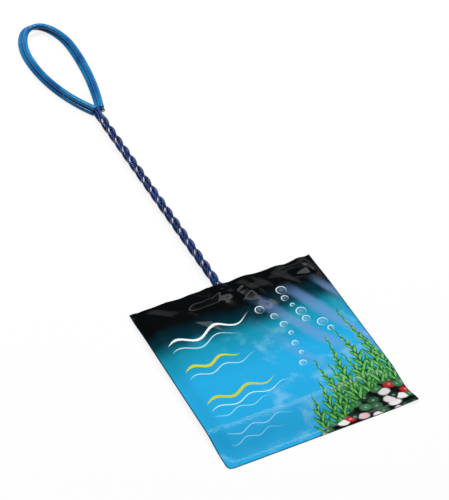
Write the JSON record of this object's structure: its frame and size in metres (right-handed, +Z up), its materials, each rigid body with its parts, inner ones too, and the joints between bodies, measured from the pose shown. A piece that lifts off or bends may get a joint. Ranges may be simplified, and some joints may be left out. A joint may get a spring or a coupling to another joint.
{
  "type": "aquarium fish net",
  "caption": "Hand net for aquarium fish: twisted coated-wire handle with a hang loop, wire hoop with a fine mesh bag, and a printed film pouch over the net head.",
  "frame": {"origin": "middle of the whole object, on the surface that it lies on", "axes": "+Y along the handle towards the hang loop, +Z up from the surface, +X across the pouch"},
  "size_m": [0.108, 0.3704, 0.008],
  "materials": {
    "coated_wire": "glossy blue vinyl coat on steel wire",
    "grip_vinyl": "glossy translucent blue vinyl sleeve",
    "hem_tape": "woven nylon tape",
    "net_mesh": "fine knitted nylon mesh",
    "printed_film": "glossy printed polyethylene film",
    "plain_film": "glossy printed polyethylene film"
  },
  "bodies": {
    "net": {"hoop_wire": "coated_wire", "shaft_strand_right": "coated_wire", "shaft_strand_left": "coated_wire", "shaft_strand_return": "coated_wire", "loop_turn_lower": "coated_wire", "loop_turn_upper": "coated_wire", "loop_sleeve_lower": "grip_vinyl", "loop_sleeve_upper": "grip_vinyl", "hem_sleeve": "hem_tape", "net_bag": "net_mesh"},
    "pouch": {"pouch_front": "printed_film", "pouch_back": "plain_film"}
  },
  "joints": [
    {"name": "pouch_slide", "type": "slide", "parent": "net", "child": "pouch", "axis": [0, -1, 0], "range_m": [0, 0.124]}
  ]
}
